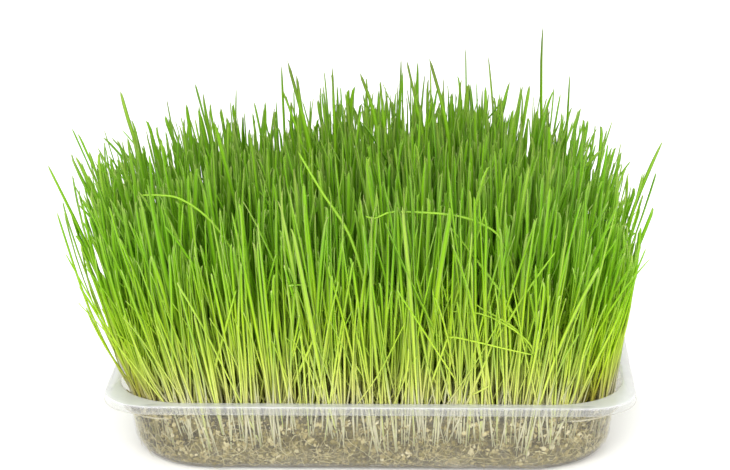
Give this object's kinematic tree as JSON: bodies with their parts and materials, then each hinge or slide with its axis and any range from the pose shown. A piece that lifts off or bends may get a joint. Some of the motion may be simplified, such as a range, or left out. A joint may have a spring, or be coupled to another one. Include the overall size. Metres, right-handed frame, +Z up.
{
  "type": "wheatgrass tray",
  "caption": "Shallow clear plastic food tray filled with growing medium, in which tufts of upright wheatgrass stand close together.",
  "frame": {"origin": "centre of the tray's underside", "axes": "+Z up, out of the tray's mouth; +X along the tray's long side; -Y towards the side that faces the viewer in the picture"},
  "size_m": [0.3334, 0.2063, 0.2126],
  "materials": {
    "tray": "satin",
    "growing_medium": "matte",
    "grass": "satin"
  },
  "bodies": {
    "root": {"tray": "tray", "growing_medium": "growing_medium", "tuft_01": "grass", "tuft_02": "grass", "tuft_03": "grass", "tuft_04": "grass", "tuft_05": "grass", "tuft_06": "grass", "tuft_07": "grass", "tuft_08": "grass", "tuft_09": "grass", "tuft_10": "grass", "tuft_11": "grass", "tuft_12": "grass", "tuft_13": "grass", "tuft_14": "grass", "tuft_15": "grass", "tuft_16": "grass", "tuft_17": "grass", "tuft_18": "grass", "tuft_19": "grass", "tuft_20": "grass", "tuft_21": "grass", "tuft_22": "grass", "tuft_23": "grass", "tuft_24": "grass", "tuft_25": "grass", "tuft_26": "grass", "tuft_27": "grass", "tuft_28": "grass", "tuft_29": "grass", "tuft_30": "grass", "tuft_31": "grass", "tuft_32": "grass", "tuft_33": "grass", "tuft_34": "grass", "tuft_35": "grass", "tuft_36": "grass", "tuft_37": "grass", "tuft_38": "grass", "tuft_39": "grass", "tuft_40": "grass", "tuft_41": "grass", "tuft_42": "grass", "tuft_43": "grass"}
  },
  "joints": []
}
